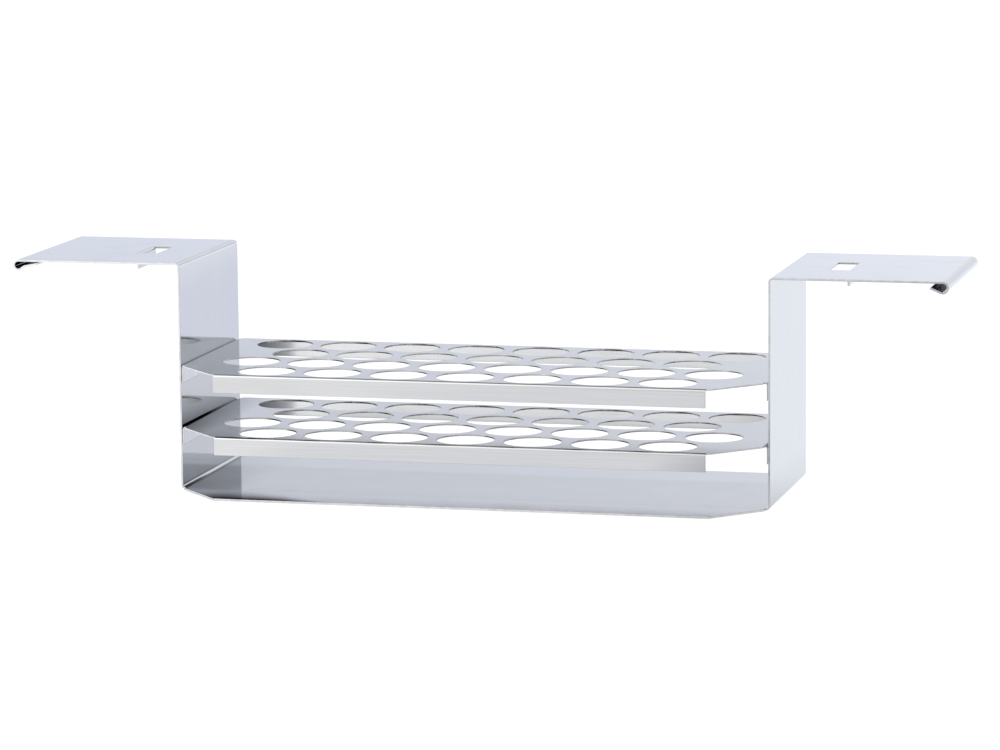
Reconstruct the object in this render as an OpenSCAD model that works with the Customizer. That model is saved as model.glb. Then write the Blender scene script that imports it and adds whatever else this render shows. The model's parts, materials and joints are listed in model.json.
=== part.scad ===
// Hanging test tube rack for a heated bath, folded from stainless steel sheet.
// The origin is on the ground under the centre of the hole pattern, and the front faces -Y.

/* [Frame] */
// Clear width between the two side walls
inner_w = 282; // [272:1:300]
// Depth of the side walls and hangers, front to back
wall_d = 92; // [90:1:100]
// How far the base and the trays reach past the side walls at the front
front_reach = 26; // [24:1:30]
// Width cut off each front corner of the base and the trays
corner_cut = 24; // [20:1:30]
// Height of the hangers' tops above the ground
rack_h = 108; // [90:1:140]
// Distance between the outer ends of the two hangers
span_w = 448; // [430:1:480]
// Thickness of the frame's sheet
frame_t = 1; // [0.8:0.1:1.2]
// Inner radius of the frame's four bends
frame_bend_r = 1.0; // [1:0.1:2]

/* [Hangers] */
// Distance between the outer faces of the two locating tabs
tab_span = 346; // [340:1:356]
// Depth of the tabs below the hangers' tops
tab_h = 7.5; // [6:0.5:10]
// Length of the windows and their tabs, front to back
window_l = 27; // [20:1:40]
// Distance from each tab to the window's opposite edge
window_w = 8.5; // [8:0.5:12]
// Inner radius of the rolled hem at the end of the left hanger
left_hem_r = 1.65; // [1.5:0.05:1.8]
// Inner radius of the rolled hem at the end of the right hanger
right_hem_r = 1.9; // [1.7:0.05:2.1]

/* [Trays] */
// Height of the upper tray's top surface
upper_z = 59.5; // [50:0.5:80]
// Height of the lower tray's top surface
lower_z = 30; // [20:0.5:40]
// Diameter of the tube holes
hole_d = 27; // [24:0.5:28]
// Distance between the centres of neighbouring tube holes
hole_pitch = 32; // [30:0.5:32.5]
// Number of tube holes in each longer row
row_holes = 8; // [5:1:8]
// Number of rows, which are long and short by turns
rows = 4; // [2:1:4]
// Thickness of the trays' sheet
tray_t = 0.7; // [0.6:0.1:0.8]
// Inner radius of the trays' bends
tray_bend_r = 0.8; // [0.6:0.1:1]
// Depth of the trays' flanges below their top surface
flange_h = 8.5; // [7:0.5:10]

/* [Spot welds] */
// Diameter of each weld
weld_d = 4; // [3:0.5:5]
// Distance between neighbouring welds
weld_pitch = 27.5; // [20:0.5:30]
// Number of welds along each end of a tray
weld_count = 3; // [2:1:3]

/* [Hidden] */
$fn = 96;

frame_color = [0.80, 0.82, 0.86];
tray_color = [0.74, 0.76, 0.80];
weld_color = [0.62, 0.60, 0.58];

wall_in_x = inner_w / 2;
wall_out_x = wall_in_x + frame_t;
tray_d = wall_d + front_reach;
rear_y = tray_d / 2;
front_y = -tray_d / 2;
wall_front_y = front_y + front_reach;
wall_mid_y = rear_y - wall_d / 2;

// Overlap between a flat piece and the folded strip that continues it
lap = 2;
// How far a cutting shape runs past the sheet it cuts
over = 1;

// The left hem rolls past a half turn, comes back towards the hanger, then flattens
left_hem_turn = 215;
left_hem_rest_angle = 12;
left_hem_leaf_l = 6.3;
// The right hem is rolled more openly and ends without flattening
right_hem_turn = 203;
right_hem_leaf_l = 5.2;
hem_step_l = 1.6;
hem_relax_r = 1.5;
hem_steps = 24;

tab_bend_r = 0.7;
tab_clearance = 0.3;
tab_out_x = tab_span / 2;
tab_in_x = tab_out_x - frame_t;
tab_bend_x = tab_in_x + tab_bend_r + frame_t;
window_in_x = tab_in_x - window_w;

// End flanges stop short of the rear flange and of the corner cuts
corner_relief = 2;
end_flange_inset = 0.5;

row_pitch = hole_pitch * sin(60);

weld_z = -(flange_h + tray_bend_r + tray_t) / 2;
nugget_in_wall = frame_t / 2;
nugget_in_flange = tray_t / 2;
mark_d = weld_d + 1.5;
mark_depth = 0.1;

// Number of tube holes in row i, counted from the rear
function row_count(i) = row_holes - i % 2;
// Place of row i, front to back
function row_y(i) = ((rows - 1) / 2 - i) * row_pitch;
// Place of hole j of row i, left to right
function hole_x(i, j) = (j - (row_count(i) - 1) / 2) * hole_pitch;

// Sheet of thickness t, folded along a chain of legs [length, angle of the bend after it,
// inner radius of that bend]. It starts along +X, lies to its left, and is w deep in +Z.
// A positive angle turns left.
module folded_sheet(legs, t, w, k = 0) {
    length = legs[k][0];
    angle = legs[k][1];
    r = legs[k][2];
    side = sign(angle);
    cube([length, t, w]);
    if (k + 1 < len(legs)) {
        turn_y = side > 0 ? t + r : -r;
        translate([length, turn_y]) {
            rotate(side > 0 ? -90 : 90 + angle)
                rotate_extrude(angle = abs(angle))
                    translate([r, 0])
                        square([t, w]);
            rotate(angle)
                translate([0, -turn_y])
                    folded_sheet(legs, t, w, k + 1);
        }
    }
}

// Plan of the base or a tray, whose flat part ends at x = flat_x and y = flat_front
module plan(half_w, flat_x, flat_front, flat_rear) {
    slope = front_reach / corner_cut;
    side_y = wall_front_y - (half_w - flat_x) * slope;
    corner_x = half_w - corner_cut + (flat_front - front_y) / slope;
    polygon([
        [-flat_x, flat_rear],
        [flat_x, flat_rear],
        [flat_x, side_y],
        [corner_x, flat_front],
        [-corner_x, flat_front],
        [-flat_x, side_y]
    ]);
}

// A station is [x, z, heading] on the middle line of a curved sheet seen edge on
function ahead(s, length) = [s[0] + length * cos(s[2]), s[1] + length * sin(s[2]), s[2]];
// Station at distance d to the left of station s
function beside(s, d) = [s[0] - d * sin(s[2]), s[1] + d * cos(s[2])];
// Stations along an arc of radius r that turns by angle, to the right if it is negative
function arc(s, r, angle, steps) =
    let (side = sign(angle), centre = beside(s, side * r))
    [
        for (i = [1 : steps])
            let (heading = s[2] + angle * i / steps)
            [
                centre[0] + side * r * sin(heading),
                centre[1] - side * r * cos(heading),
                heading
            ]
    ];

// Where the flat of the +X hanger ends and its hem of inner radius r begins
function hem_x(r) = span_w / 2 - r - frame_t;

// One side wall with its hanger, on the +X side
module side_wall(hem_r) {
    bend = frame_bend_r + frame_t;
    legs = [
        [lap, 90, frame_bend_r],
        [rack_h - frame_t - frame_bend_r - bend, -90, frame_bend_r],
        [hem_x(hem_r) - wall_out_x - frame_bend_r, 0, 0]
    ];
    translate([wall_out_x - bend - lap, rear_y, 0])
        rotate([90, 0, 0])
            folded_sheet(legs, frame_t, wall_d);
}

// Last station of a path
function last(path) = path[len(path) - 1];
// Middle line of a rolled hem, which turns by turn and then flattens by relax_angle
function hem_path(r, turn, relax_angle, leaf_l) =
    let (
        flat = [[hem_x(r) - lap, rack_h - frame_t / 2, 0], [hem_x(r), rack_h - frame_t / 2, 0]],
        roll = concat(flat, arc(last(flat), r + frame_t / 2, -turn, hem_steps)),
        back = ahead(last(roll), hem_step_l),
        relax_steps = ceil(hem_steps * relax_angle / turn),
        relax = relax_angle > 0
            ? concat([back], arc(back, hem_relax_r + frame_t / 2, relax_angle, relax_steps))
            : [],
        bent = concat(roll, relax)
    )
    concat(bent, [ahead(last(bent), leaf_l)]);

left_relax = left_hem_turn - 180 - left_hem_rest_angle;
left_hem_path = hem_path(left_hem_r, left_hem_turn, left_relax, left_hem_leaf_l);
right_hem_path = hem_path(right_hem_r, right_hem_turn, 0, right_hem_leaf_l);

// Rolled hem at the end of the +X hanger, which keeps the sheet's edge away from hands
module hem(path) {
    upper_side = [for (s = path) beside(s, frame_t / 2)];
    lower_side = [for (i = [len(path) - 1 : -1 : 0]) beside(path[i], -frame_t / 2)];
    translate([0, rear_y, 0])
        rotate([90, 0, 0])
            linear_extrude(wall_d)
                polygon(concat(upper_side, lower_side));
}

// Opening left in the +X hanger where the tab is folded down
module window() {
    translate([window_in_x, wall_mid_y - window_l / 2, rack_h - frame_t - over])
        cube([tab_bend_x - window_in_x, window_l, frame_t + 2 * over]);
}

// Tab folded down from the outer edge of the +X window
module tab() {
    width = window_l - 2 * tab_clearance;
    bend = tab_bend_r + frame_t;
    translate([tab_bend_x + lap, wall_mid_y - width / 2, rack_h])
        rotate([-90, 0, 0])
            mirror([1, 0, 0])
                folded_sheet([[lap, 90, tab_bend_r], [tab_h - bend, 0, 0]], frame_t, width);
}

// Places its child once for each weld along the tray ends, with +X pointing out of the rack
module at_welds(tray_z) {
    for (side = [0, 1], i = [0 : weld_count - 1])
        mirror([side, 0, 0])
            translate([
                wall_in_x,
                wall_mid_y + (i - (weld_count - 1) / 2) * weld_pitch,
                tray_z + weld_z
            ])
                rotate([0, 90, 0])
                    children();
}

// Pocket that a weld fills, from the middle of one sheet to the middle of the other
module nugget() {
    translate([0, 0, -nugget_in_flange])
        cylinder(d = weld_d, h = nugget_in_flange + nugget_in_wall);
}

// Shallow dents that the electrodes leave on the wall's and the flange's free faces
module wall_mark() {
    translate([0, 0, frame_t - mark_depth])
        cylinder(d = mark_d, h = mark_depth + over);
}

module flange_mark() {
    translate([0, 0, -tray_t - over])
        cylinder(d = mark_d, h = mark_depth + over);
}

// Bent sheet frame: base, two side walls and two hangers, all one piece
module frame() {
    color(frame_color)
        difference() {
            union() {
                linear_extrude(frame_t)
                    plan(wall_out_x, wall_out_x - frame_bend_r - frame_t, front_y, rear_y);
                for (side = [0, 1])
                    mirror([side, 0, 0]) {
                        difference() {
                            side_wall(side > 0 ? left_hem_r : right_hem_r);
                            window();
                        }
                        tab();
                        hem(side > 0 ? left_hem_path : right_hem_path);
                    }
            }
            for (tray_z = [upper_z, lower_z])
                at_welds(tray_z) {
                    nugget();
                    wall_mark();
                }
        }
}

// Flange folded down from an edge that faces -Y, centred on x, with its outer face at y = 0
module flange(length) {
    bend = tray_bend_r + tray_t;
    translate([-length / 2, bend + lap, 0])
        rotate([-90, 0, 0])
            rotate([0, 90, 0])
                folded_sheet([[lap, 90, tray_bend_r], [flange_h - bend, 0, 0]], tray_t, length);
}

// Perforated tray with its top surface at tray_z
module tray(tray_z) {
    bend = tray_bend_r + tray_t;
    end_l = wall_d - corner_relief - bend - end_flange_inset;
    end_y = wall_front_y + end_flange_inset + end_l / 2;
    difference() {
        translate([0, 0, tray_z]) {
            translate([0, 0, -tray_t])
                linear_extrude(tray_t)
                    plan(wall_in_x, wall_in_x - bend, front_y + bend, rear_y - bend);
            translate([0, front_y, 0])
                flange(2 * (wall_in_x - corner_cut));
            translate([0, rear_y, 0])
                rotate(180)
                    flange(2 * (wall_in_x - bend - corner_relief));
            for (side = [-1, 1])
                translate([side * wall_in_x, end_y, 0])
                    rotate(side * 90)
                        flange(end_l);
        }
        for (i = [0 : rows - 1], j = [0 : row_count(i) - 1])
            translate([hole_x(i, j), row_y(i), tray_z - tray_t - over])
                cylinder(d = hole_d, h = tray_t + 2 * over);
        at_welds(tray_z) {
            nugget();
            flange_mark();
        }
    }
}

module upper_tray() {
    color(tray_color)
        tray(upper_z);
}

module lower_tray() {
    color(tray_color)
        tray(lower_z);
}

module upper_tray_welds() {
    color(weld_color)
        at_welds(upper_z)
            nugget();
}

module lower_tray_welds() {
    color(weld_color)
        at_welds(lower_z)
            nugget();
}

frame();
upper_tray();
lower_tray();
upper_tray_welds();
lower_tray_welds();
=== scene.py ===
"""Hanging test tube rack: folded sheet meshes, procedural stainless steel and a white studio.

Each sheet is made as its real blank is: a flat outline with holes, which a fold then maps into
place. A blank point is (u, v) in metres, with u along +X and v along +Y before folding. The blank's
top face is the one that faces +Z on the base and on the trays.
"""

import json
import math

import bpy
import numpy as np
from mathutils import Matrix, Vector
from mathutils.geometry import delaunay_2d_cdt


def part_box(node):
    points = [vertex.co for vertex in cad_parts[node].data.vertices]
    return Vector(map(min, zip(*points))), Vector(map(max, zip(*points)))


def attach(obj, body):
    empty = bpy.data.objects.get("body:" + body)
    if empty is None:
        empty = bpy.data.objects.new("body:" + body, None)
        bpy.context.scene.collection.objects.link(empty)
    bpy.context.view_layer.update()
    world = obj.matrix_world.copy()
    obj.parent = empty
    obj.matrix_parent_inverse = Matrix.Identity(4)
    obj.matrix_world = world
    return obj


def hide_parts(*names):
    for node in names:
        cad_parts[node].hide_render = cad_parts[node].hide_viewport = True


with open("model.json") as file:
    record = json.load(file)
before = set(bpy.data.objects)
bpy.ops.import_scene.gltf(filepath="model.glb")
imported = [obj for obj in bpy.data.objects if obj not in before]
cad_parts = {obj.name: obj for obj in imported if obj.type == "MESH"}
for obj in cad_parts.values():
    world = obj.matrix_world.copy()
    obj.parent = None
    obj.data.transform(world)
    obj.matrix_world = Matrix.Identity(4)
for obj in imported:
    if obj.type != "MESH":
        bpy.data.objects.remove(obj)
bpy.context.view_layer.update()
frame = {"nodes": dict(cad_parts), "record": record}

# ---------------------------------------------------------------- sizes, in metres

MM = 0.001
FRAME_LO, FRAME_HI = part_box("frame")
RACK_H = FRAME_HI.z
REAR_Y, FRONT_Y = FRAME_HI.y, FRAME_LO.y
TRAYS = {"upper_tray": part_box("upper_tray"), "lower_tray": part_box("lower_tray")}
WALL_IN_X = TRAYS["upper_tray"][1].x
TAB_OUT_X, WALL_MID_Y, _ = next(
    m["pos_m"] for m in frame["record"]["mounts"] if m["name"] == "right_tab_outer_face"
)
TUBES = [m for m in frame["record"]["mounts"] if m["name"].startswith("tube_")]
HOLE_R = TUBES[0]["dims"]["r_mm"] * MM

FRAME_T = 1.0 * MM
FRAME_BEND_R = 1.0 * MM
WALL_OUT_X = WALL_IN_X + FRAME_T
WALL_D = 2 * (REAR_Y - WALL_MID_Y)
WALL_FRONT_Y = REAR_Y - WALL_D
FRONT_REACH = WALL_FRONT_Y - FRONT_Y
CORNER_CUT = 24 * MM

# The left hem rolls past a half turn, comes back towards the hanger, then flattens. The right
# one is rolled a little more openly.
LEFT_HEM_R = 1.65 * MM
LEFT_HEM_TURN = math.radians(215)
LEFT_HEM_REST = math.radians(12)
LEFT_HEM_STEP_L = 1.6 * MM
LEFT_HEM_RELAX_R = 1.5 * MM
LEFT_HEM_LEAF_L = 6.3 * MM
RIGHT_HEM_R = 1.9 * MM
RIGHT_HEM_TURN = math.radians(203)
RIGHT_HEM_LEAF_L = 5.2 * MM

TAB_H = 7.5 * MM
TAB_BEND_R = 0.7 * MM
TAB_GAP = 0.3 * MM
WINDOW_L = 27 * MM
WINDOW_W = 8.5 * MM

TRAY_T = 0.7 * MM
TRAY_BEND_R = 0.8 * MM
FLANGE_H = 8.5 * MM
CORNER_RELIEF = 2 * MM
END_INSET = 0.5 * MM

WELD_PITCH = 27.5 * MM
WELD_COUNT = 3
DENT_R = 2.75 * MM
DENT_FLOOR_R = 2.0 * MM
DENT_DEPTH = 0.1 * MM

# Cut edges are rounded by EDGE_R, and a hole's rim is burnished over BURNISH_W
EDGE_R = 0.2 * MM
BURNISH_W = 0.9 * MM
HEAT_REACH = 4.2 * MM
RELIEF_GAP = 0.25 * MM

# Fineness of the meshes, the gaps that count as none, and the UV map's scale
HOLE_STEPS = 80
WELD_STEPS = 32
BEND_STEP = math.radians(7.5)
SMOOTH_CORNER = math.radians(12)
FOLD_SLACK = 0.05 * MM
NO_LENGTH = 1e-9
NO_SHARE = 1e-6
UV_PER_M = 10.0


# ---------------------------------------------------------------- folding a flat blank

def bend_arc(radius, thickness, angle):
    """A bend as (length along the middle of the sheet, signed angle)."""
    return ((radius + thickness / 2) * abs(angle), angle)


def along(chain, start, s):
    """Place (x, z) and heading at distances s along a chain of (length, angle) legs."""
    x, z, heading = start
    out = np.zeros((len(s), 3))
    at = 0.0
    for length, turn in chain:
        d = s - at
        here = (d >= 0) if at else np.full(len(s), True)
        if turn:
            r = length / turn
            h = heading + turn * d / length
            px = x + r * (np.sin(h) - math.sin(heading))
            pz = z - r * (np.cos(h) - math.cos(heading))
            x += r * (math.sin(heading + turn) - math.sin(heading))
            z -= r * (math.cos(heading + turn) - math.cos(heading))
            heading += turn
        else:
            h = np.full(len(s), heading)
            px, pz = x + d * math.cos(heading), z + d * math.sin(heading)
            x += length * math.cos(heading)
            z += length * math.sin(heading)
        out[here] = np.stack([px, pz, h], 1)[here]
        at += length
    return out


def stations(chain, begin=0.0):
    """Distances along a chain at which its bends need a line of vertices."""
    found, at = [], begin
    for length, turn in chain:
        if turn:
            steps = max(2, math.ceil(abs(turn) / BEND_STEP))
            found += [at + length * i / steps for i in range(steps + 1)]
        at += length
    return found


QUARTER = math.pi / 2
HANGER_X = WALL_OUT_X + FRAME_BEND_R
FRAME_CHAIN = [
    (WALL_OUT_X - FRAME_T - FRAME_BEND_R, 0),
    bend_arc(FRAME_BEND_R, FRAME_T, QUARTER),
    (RACK_H - 2 * (FRAME_T + FRAME_BEND_R), 0),
    bend_arc(FRAME_BEND_R, FRAME_T, -QUARTER),
]
BASE_FLAT_U = FRAME_CHAIN[0][0]
WALL_U = BASE_FLAT_U + FRAME_CHAIN[1][0]
HANGER_U = WALL_U + FRAME_CHAIN[2][0] + FRAME_CHAIN[3][0]


def hanger_chain(hem_r, hem_turn, rest):
    """The frame's chain with a hanger whose hem turns by hem_turn and ends in the legs of rest."""
    flat = FRAME_HI.x - hem_r - FRAME_T - HANGER_X
    return FRAME_CHAIN + [(flat, 0), bend_arc(hem_r, FRAME_T, -hem_turn)] + rest


CHAINS = {
    1: hanger_chain(RIGHT_HEM_R, RIGHT_HEM_TURN, [(RIGHT_HEM_LEAF_L, 0)]),
    -1: hanger_chain(
        LEFT_HEM_R,
        LEFT_HEM_TURN,
        [
            (LEFT_HEM_STEP_L, 0),
            bend_arc(LEFT_HEM_RELAX_R, FRAME_T, LEFT_HEM_TURN - math.pi - LEFT_HEM_REST),
            (LEFT_HEM_LEAF_L, 0),
        ],
    ),
}

TAB_CHAIN = [
    bend_arc(TAB_BEND_R, FRAME_T, QUARTER),
    (TAB_H - FRAME_T - TAB_BEND_R, 0),
]
TAB_BEND_X = TAB_OUT_X + TAB_BEND_R
TAB_U = HANGER_U + TAB_BEND_X - HANGER_X
TAB_LEN = sum(length for length, _ in TAB_CHAIN)
TAB_HALF = WINDOW_L / 2 - TAB_GAP
WINDOW_U = HANGER_U + TAB_OUT_X - FRAME_T - WINDOW_W - HANGER_X


def folded(points, place, side, flip):
    """Middle point, the two directions of the blank and the top normal at each point."""
    x, z, h = place.T
    c, s = np.cos(h), np.sin(h)
    zero, one = np.zeros_like(c), np.ones_like(c)
    mid = np.stack([side * x, points[:, 1], z], 1)
    tu = np.stack([c, zero, side * s], 1) * flip[:, None]
    tv = np.stack([zero, one, zero], 1)
    return mid, tu, tv, np.cross(tu, tv)


def frame_fold(points):
    """The frame's blank: base, walls, hangers and hems in one strip, and the two tabs."""
    u, v = points.T
    side = np.where(u < 0, -1.0, 1.0)
    s = np.abs(u)
    ends = {way: along(CHAINS[way], (0, FRAME_T / 2, 0), s) for way in CHAINS}
    place = np.where((u < 0)[:, None], ends[-1], ends[1])
    on_tab = (np.abs(v - WALL_MID_Y) < TAB_HALF + FOLD_SLACK) & (s < TAB_U) & (s > WINDOW_U)
    on_tab &= s > TAB_U - TAB_LEN - FOLD_SLACK
    tab = along(TAB_CHAIN, (TAB_BEND_X, RACK_H - FRAME_T / 2, math.pi), TAB_U - s)
    place = np.where(on_tab[:, None], tab, place)
    return folded(points, place, side, np.where(on_tab, -1.0, 1.0))


TRAY_CHAIN = [
    bend_arc(TRAY_BEND_R, TRAY_T, -QUARTER),
    (FLANGE_H - TRAY_T - TRAY_BEND_R, 0),
]
TRAY_LEN = sum(length for length, _ in TRAY_CHAIN)
TRAY_BEND = TRAY_BEND_R + TRAY_T
FLAT_X = WALL_IN_X - TRAY_BEND
FLAT_FRONT, FLAT_REAR = FRONT_Y + TRAY_BEND, REAR_Y - TRAY_BEND
# The four bends: the axis each lies across, where on it, and which way is outwards
TRAY_FOLDS = ((0, FLAT_X, 1), (0, -FLAT_X, -1), (1, FLAT_REAR, 1), (1, FLAT_FRONT, -1))


def tray_fold(points):
    """A tray's blank: the flat with a flange folded down on each of its four sides."""
    u, v = points.T
    mid = np.stack([u, v, np.full(len(u), -TRAY_T / 2)], 1)
    tu = np.tile([1.0, 0, 0], (len(u), 1))
    tv = np.tile([0, 1.0, 0], (len(u), 1))
    for axis, at, sign in TRAY_FOLDS:
        d = sign * (points[:, axis] - at)
        past = d > 0
        x, z, h = along(TRAY_CHAIN, (0, -TRAY_T / 2, 0), np.maximum(d, 0)).T
        mid[past, axis] = at + sign * x[past]
        mid[past, 2] = z[past]
        t = (tu, tv)[axis]
        t[past, axis] = np.cos(h)[past]
        t[past, 2] = sign * np.sin(h)[past]
    return mid, tu, tv, np.cross(tu, tv)


# ---------------------------------------------------------------- outlines of the blanks

def split_at(loop, axis, values):
    """Adds a vertex wherever the loop's straight edges cross one of the values on an axis."""
    out = []
    for p, q in zip(loop, loop[1:] + loop[:1]):
        out.append(p)
        span = q[axis] - p[axis]
        if abs(span) > NO_LENGTH:
            cuts = sorted((c - p[axis]) / span for c in values)
            cuts = [t for t in cuts if NO_SHARE < t < 1 - NO_SHARE]
            out += [tuple(p[k] + t * (q[k] - p[k]) for k in (0, 1)) for t in cuts]
    return out


def frame_outline():
    """The frame's outer edge, anticlockwise, with a vertex at every bend station."""
    slope = FRONT_REACH / CORNER_CUT
    notch_u = BASE_FLAT_U - RELIEF_GAP
    notch_v = WALL_FRONT_Y - (WALL_OUT_X - notch_u) * slope
    half, lines = {}, []
    for way, chain in CHAINS.items():
        end = sum(length for length, _ in chain)
        half[way] = [
            (way * (WALL_OUT_X - CORNER_CUT), FRONT_Y),
            (way * notch_u, notch_v),
            (way * notch_u, WALL_FRONT_Y),
            (way * end, WALL_FRONT_Y),
            (way * end, REAR_Y),
        ]
        lines += [way * c for c in stations(chain)]
    return split_at(half[1] + half[-1][::-1], 0, lines), lines


def window_outline():
    """The slot round a tab, clockwise, so that the sheet lies on its left."""
    tip = TAB_U - TAB_LEN
    return [
        (TAB_U, WINDOW_L / 2),
        (TAB_U, TAB_HALF),
        (tip, TAB_HALF),
        (tip, -TAB_HALF),
        (TAB_U, -TAB_HALF),
        (TAB_U, -WINDOW_L / 2),
        (WINDOW_U, -WINDOW_L / 2),
        (WINDOW_U, WINDOW_L / 2),
    ]


def circle(u, v, r, steps, clockwise=True):
    """A circle as a loop. A hole's runs clockwise, so that the sheet lies on its left."""
    turn = -1 if clockwise else 1
    angles = [turn * math.tau * i / steps for i in range(steps)]
    return [(u + r * math.cos(a), v + r * math.sin(a)) for a in angles]


def tray_outline():
    """A tray's outer edge, anticlockwise, with a vertex at every bend station."""
    half_w = WALL_IN_X
    slope = FRONT_REACH / CORNER_CUT
    side_y = WALL_FRONT_Y - (half_w - FLAT_X + RELIEF_GAP) * slope
    front_v = FLAT_FRONT + RELIEF_GAP
    corner_x = half_w - CORNER_CUT + (front_v - FRONT_Y) / slope
    front_x = half_w - CORNER_CUT
    rear_x = FLAT_X - CORNER_RELIEF
    end_front = WALL_FRONT_Y + END_INSET
    end_rear = REAR_Y - CORNER_RELIEF - TRAY_BEND
    edge_x = FLAT_X - RELIEF_GAP
    edge_rear = FLAT_REAR - RELIEF_GAP
    right = [
        (front_x, FLAT_FRONT - TRAY_LEN),
        (front_x, front_v),
        (corner_x, front_v),
        (edge_x, side_y),
        (edge_x, end_front),
        (FLAT_X + TRAY_LEN, end_front),
        (FLAT_X + TRAY_LEN, end_rear),
        (edge_x, end_rear),
        (edge_x, edge_rear),
        (rear_x, edge_rear),
        (rear_x, FLAT_REAR + TRAY_LEN),
    ]
    loop = right + [(-u, v) for u, v in reversed(right)]
    lines_u = stations(TRAY_CHAIN, FLAT_X)
    rear = stations(TRAY_CHAIN, FLAT_REAR)
    front = [FLAT_FRONT - (c - FLAT_REAR) for c in rear]
    loop = split_at(loop, 0, lines_u + [-c for c in lines_u])
    return split_at(loop, 1, rear + front), lines_u, rear, front


# ---------------------------------------------------------------- a solid sheet from a blank

def insets(loop):
    """Per vertex of a loop: the mitre into the sheet, and the outward normals before and after."""
    p = np.array(loop)
    ahead = np.roll(p, -1, 0) - p
    ahead /= np.linalg.norm(ahead, axis=1)[:, None]
    n1 = np.stack([-ahead[:, 1], ahead[:, 0]], 1)
    n0 = np.roll(n1, 1, 0)
    dot = (n0 * n1).sum(1)
    mitre = (n0 + n1) / (1 + dot)[:, None]
    smooth = dot > math.cos(SMOOTH_CORNER)
    mean = (n0 + n1) / np.linalg.norm(n0 + n1, axis=1)[:, None]
    before = np.where(smooth[:, None], mean, n0)
    after = np.where(smooth[:, None], mean, n1)
    return p, mitre, -before, -after


def inside(points, loops):
    """Even-odd test of points against all loops at once."""
    odd = np.zeros(len(points), bool)
    for loop in loops:
        a = np.array(loop)
        b = np.roll(a, -1, 0)
        for (x0, y0), (x1, y1) in zip(a, b):
            if y0 == y1:
                continue
            crosses = (points[:, 1] > y0) != (points[:, 1] > y1)
            x = x0 + (points[:, 1] - y0) / (y1 - y0) * (x1 - x0)
            odd ^= crosses & (points[:, 0] < x)
    return odd


TOP, CLEAN_EDGE, ROUGH_EDGE, UNDERSIDE = range(4)


def edge_profile(half):
    """The rounded edge of a sheet that is 2 * half thick, from its top face to its underside, as
    (inset, height off the middle, the normal's share upwards, the normal's share outwards)."""
    lean = math.sqrt(0.5)
    upper = [
        (EDGE_R, half, 1.0, 0.0),
        (EDGE_R * (1 - lean), half - EDGE_R * (1 - lean), lean, lean),
        (0.0, half - EDGE_R, 0.0, 1.0),
    ]
    return upper + [(inset, -off, -up, out) for inset, off, up, out in reversed(upper)]


def triangulated(loops, rings, lines):
    """The flat faces between the loops, with vertices on the rings and edges along the lines.
    Gives the points, the triangles, and which point stands for each point of the loops."""
    flat, edges, begins = [], [], []
    for points in loops + rings:
        n = len(flat)
        begins.append(n)
        flat += points
        edges += [(n + i, n + (i + 1) % len(points)) for i in range(len(points))]
    ends = np.array(flat[: sum(map(len, loops))])
    for line in lines:
        edges.append(tuple(int(np.hypot(*(ends - end).T).argmin()) for end in line))
    out, _, faces, origin, _, _ = delaunay_2d_cdt(flat, edges, [], 0, NO_LENGTH)
    points = np.array([tuple(v) for v in out])
    point_of = {i: k for k, sources in enumerate(origin) for i in sources}
    tri = np.array(faces)
    tri = tri[inside(points[tri].mean(1), loops)]
    a, b, c = points[tri[:, 0]], points[tri[:, 1]], points[tri[:, 2]]
    area = (b - a)[:, 0] * (c - a)[:, 1] - (b - a)[:, 1] * (c - a)[:, 0]
    tri[area < 0] = tri[area < 0][:, ::-1]
    kept = [np.array([point_of[n + i] for i in range(len(loop))]) for n, loop in zip(begins, loops)]
    return points, tri, kept


def rounded_edge(data, fold, profile, ends, begin):
    """The strips of faces round one loop: polygons, corner normals, and the vertices between the
    first and last rows with their blank points. ends are the first and last rows' vertices, and
    the others are numbered from begin."""
    p, mitre, before, after = data
    size = len(p)
    verts, blank, normals = [], [], []
    for inset, off, up, out in profile:
        q = p + inset * mitre
        m, qu, qv, n = fold(q)
        verts.append(m + off * n)
        blank.append(q)
        normals.append([up * n + out * (o[:, :1] * qu + o[:, 1:] * qv) for o in (before, after)])
    between_ends = [np.arange(size) + begin + k * size for k in range(len(profile) - 2)]
    rows = list(zip([ends[0]] + between_ends + [ends[1]], normals))
    polygons, corner_normals = [], []
    for (i0, (b0, a0)), (i1, (b1, a1)) in zip(rows, rows[1:]):
        for i in range(size):
            j = (i + 1) % size
            polygons.append((i0[i], i1[i], i1[j], i0[j]))
            corner_normals.append(np.stack([a0[i], a1[i], b1[j], b0[j]]))
    return polygons, corner_normals, verts[1:-1], blank[1:-1]


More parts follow.
